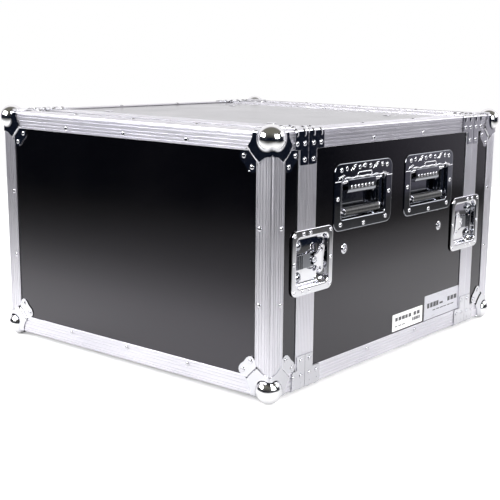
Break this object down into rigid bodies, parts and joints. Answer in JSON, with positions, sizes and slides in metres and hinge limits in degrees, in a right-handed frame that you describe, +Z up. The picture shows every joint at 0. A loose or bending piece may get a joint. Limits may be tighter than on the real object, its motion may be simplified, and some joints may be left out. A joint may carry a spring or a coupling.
{
  "type": "equipment rack case",
  "caption": "Road case for rack equipment, with lift-off end lids, recessed butterfly latches, sprung recessed handles and steel ball corners.",
  "frame": {"origin": "centre of the case footprint, at floor level under the ball corners", "axes": "+Z up; -Y towards the front lid and +Y towards the rear lid; +X and -X towards the sides that carry the handles"},
  "size_m": [0.6342, 0.7092, 0.4192],
  "materials": {
    "laminate": "fine-textured black laminate on plywood, semi-gloss",
    "aluminium": "satin anodised, drawn lines along its length",
    "plated_steel": "bright plated steel",
    "black_steel": "satin black paint",
    "foam": "open-cell foam",
    "grip_rubber": "smooth moulded black rubber",
    "paper_label": "blank white adhesive label",
    "foil_label": "blank silver foil label"
  },
  "bodies": {
    "case_body": {"body_top_panel": "laminate", "body_bottom_panel": "laminate", "body_left_panel": "laminate", "body_right_panel": "laminate", "edge_extrusion_top_left": "aluminium", "edge_extrusion_top_right": "aluminium", "edge_extrusion_bottom_left": "aluminium", "edge_extrusion_bottom_right": "aluminium", "front_groove_ring": "aluminium", "rear_groove_ring": "aluminium", "rack_rail_front_left": "black_steel", "rack_rail_front_right": "black_steel", "rack_rail_rear_left": "black_steel", "rack_rail_rear_right": "black_steel", "handle_dish_front_left": "plated_steel", "handle_dish_front_right": "plated_steel", "handle_dish_rear_left": "plated_steel", "handle_dish_rear_right": "plated_steel", "latch_dish_front_left": "plated_steel", "latch_dish_front_right": "plated_steel", "latch_dish_rear_left": "plated_steel", "latch_dish_rear_right": "plated_steel"},
    "front_lid": {"front_lid_panel": "laminate", "front_lid_walls": "laminate", "front_lid_edge_frame": "aluminium", "front_tongue_ring": "aluminium", "front_lid_foam": "foam", "ball_corner_front_top_left": "plated_steel", "ball_corner_front_top_right": "plated_steel", "ball_corner_front_bottom_left": "plated_steel", "ball_corner_front_bottom_right": "plated_steel", "latch_strike_front_left": "plated_steel", "latch_strike_front_right": "plated_steel"},
    "rear_lid": {"rear_lid_panel": "laminate", "rear_lid_walls": "laminate", "rear_lid_edge_frame": "aluminium", "rear_tongue_ring": "aluminium", "rear_lid_foam": "foam", "ball_corner_rear_top_left": "plated_steel", "ball_corner_rear_top_right": "plated_steel", "ball_corner_rear_bottom_left": "plated_steel", "ball_corner_rear_bottom_right": "plated_steel", "latch_strike_rear_left": "plated_steel", "latch_strike_rear_right": "plated_steel"},
    "bail_front_left": {"handle_bail_front_left": "plated_steel"},
    "bail_front_right": {"handle_bail_front_right": "plated_steel"},
    "bail_rear_left": {"handle_bail_rear_left": "plated_steel"},
    "bail_rear_right": {"handle_bail_rear_right": "plated_steel"},
    "rotor_front_left": {"latch_rotor_front_left": "plated_steel"},
    "wing_front_left": {"latch_wing_front_left": "plated_steel"},
    "hook_front_left": {"latch_hook_front_left": "plated_steel"},
    "rotor_front_right": {"latch_rotor_front_right": "plated_steel"},
    "wing_front_right": {"latch_wing_front_right": "plated_steel"},
    "hook_front_right": {"latch_hook_front_right": "plated_steel"},
    "rotor_rear_left": {"latch_rotor_rear_left": "plated_steel"},
    "wing_rear_left": {"latch_wing_rear_left": "plated_steel"},
    "hook_rear_left": {"latch_hook_rear_left": "plated_steel"},
    "rotor_rear_right": {"latch_rotor_rear_right": "plated_steel"},
    "wing_rear_right": {"latch_wing_rear_right": "plated_steel"},
    "hook_rear_right": {"latch_hook_rear_right": "plated_steel"}
  },
  "joints": [
    {"name": "front_lid_pull", "type": "slide", "parent": "case_body", "child": "front_lid", "axis": [0, -1, 0], "range_m": [0, 0.3]},
    {"name": "rear_lid_pull", "type": "slide", "parent": "case_body", "child": "rear_lid", "axis": [0, 1, 0], "range_m": [0, 0.3]},
    {"name": "handle_front_left", "type": "hinge", "parent": "case_body", "child": "bail_front_left", "pos_m": [-0.2995, -0.108, 0.3202], "axis": [0, 1, 0], "range_deg": [0, 90], "stiffness_Nm_per_rad": 0.06, "springref_deg": -17.19},
    {"name": "handle_front_right", "type": "hinge", "parent": "case_body", "child": "bail_front_right", "pos_m": [0.2995, -0.108, 0.3202], "axis": [0, -1, 0], "range_deg": [0, 90], "stiffness_Nm_per_rad": 0.06, "springref_deg": -17.19},
    {"name": "handle_rear_left", "type": "hinge", "parent": "case_body", "child": "bail_rear_left", "pos_m": [-0.2995, 0.099, 0.3202], "axis": [0, 1, 0], "range_deg": [0, 90], "stiffness_Nm_per_rad": 0.06, "springref_deg": -17.19},
    {"name": "handle_rear_right", "type": "hinge", "parent": "case_body", "child": "bail_rear_right", "pos_m": [0.2995, 0.099, 0.3202], "axis": [0, -1, 0], "range_deg": [0, 90], "stiffness_Nm_per_rad": 0.06, "springref_deg": -17.19},
    {"name": "latch_turn_front_left", "type": "hinge", "parent": "case_body", "child": "rotor_front_left", "pos_m": [-0.3048, -0.237, 0.2081], "axis": [-1, 0, 0], "range_deg": [0, 180]},
    {"name": "wing_fold_front_left", "type": "hinge", "parent": "rotor_front_left", "child": "wing_front_left", "pos_m": [-0.3048, -0.237, 0.2081], "axis": [0, 0, 1], "range_deg": [0, 90]},
    {"name": "hook_draw_front_left", "type": "slide", "parent": "case_body", "child": "hook_front_left", "axis": [0, -1, 0], "range_m": [0, 0.006]},
    {"name": "latch_turn_front_right", "type": "hinge", "parent": "case_body", "child": "rotor_front_right", "pos_m": [0.3048, -0.237, 0.2081], "axis": [1, 0, 0], "range_deg": [0, 180]},
    {"name": "wing_fold_front_right", "type": "hinge", "parent": "rotor_front_right", "child": "wing_front_right", "pos_m": [0.3048, -0.237, 0.2081], "axis": [0, 0, -1], "range_deg": [0, 90]},
    {"name": "hook_draw_front_right", "type": "slide", "parent": "case_body", "child": "hook_front_right", "axis": [0, -1, 0], "range_m": [0, 0.006]},
    {"name": "latch_turn_rear_left", "type": "hinge", "parent": "case_body", "child": "rotor_rear_left", "pos_m": [-0.3048, 0.228, 0.2081], "axis": [-1, 0, 0], "range_deg": [0, 180]},
    {"name": "wing_fold_rear_left", "type": "hinge", "parent": "rotor_rear_left", "child": "wing_rear_left", "pos_m": [-0.3048, 0.228, 0.2081], "axis": [0, 0, -1], "range_deg": [0, 90]},
    {"name": "hook_draw_rear_left", "type": "slide", "parent": "case_body", "child": "hook_rear_left", "axis": [0, 1, 0], "range_m": [0, 0.006]},
    {"name": "latch_turn_rear_right", "type": "hinge", "parent": "case_body", "child": "rotor_rear_right", "pos_m": [0.3048, 0.228, 0.2081], "axis": [1, 0, 0], "range_deg": [0, 180]},
    {"name": "wing_fold_rear_right", "type": "hinge", "parent": "rotor_rear_right", "child": "wing_rear_right", "pos_m": [0.3048, 0.228, 0.2081], "axis": [0, 0, 1], "range_deg": [0, 90]},
    {"name": "hook_draw_rear_right", "type": "slide", "parent": "case_body", "child": "hook_rear_right", "axis": [0, 1, 0], "range_m": [0, 0.006]}
  ],
  "couplings": [
    {"joint": "hook_draw_front_left", "follows": "latch_turn_front_left", "m_per_rad": 0.0019},
    {"joint": "hook_draw_front_right", "follows": "latch_turn_front_right", "m_per_rad": 0.0019},
    {"joint": "hook_draw_rear_left", "follows": "latch_turn_rear_left", "m_per_rad": 0.0019},
    {"joint": "hook_draw_rear_right", "follows": "latch_turn_rear_right", "m_per_rad": 0.0019}
  ]
}
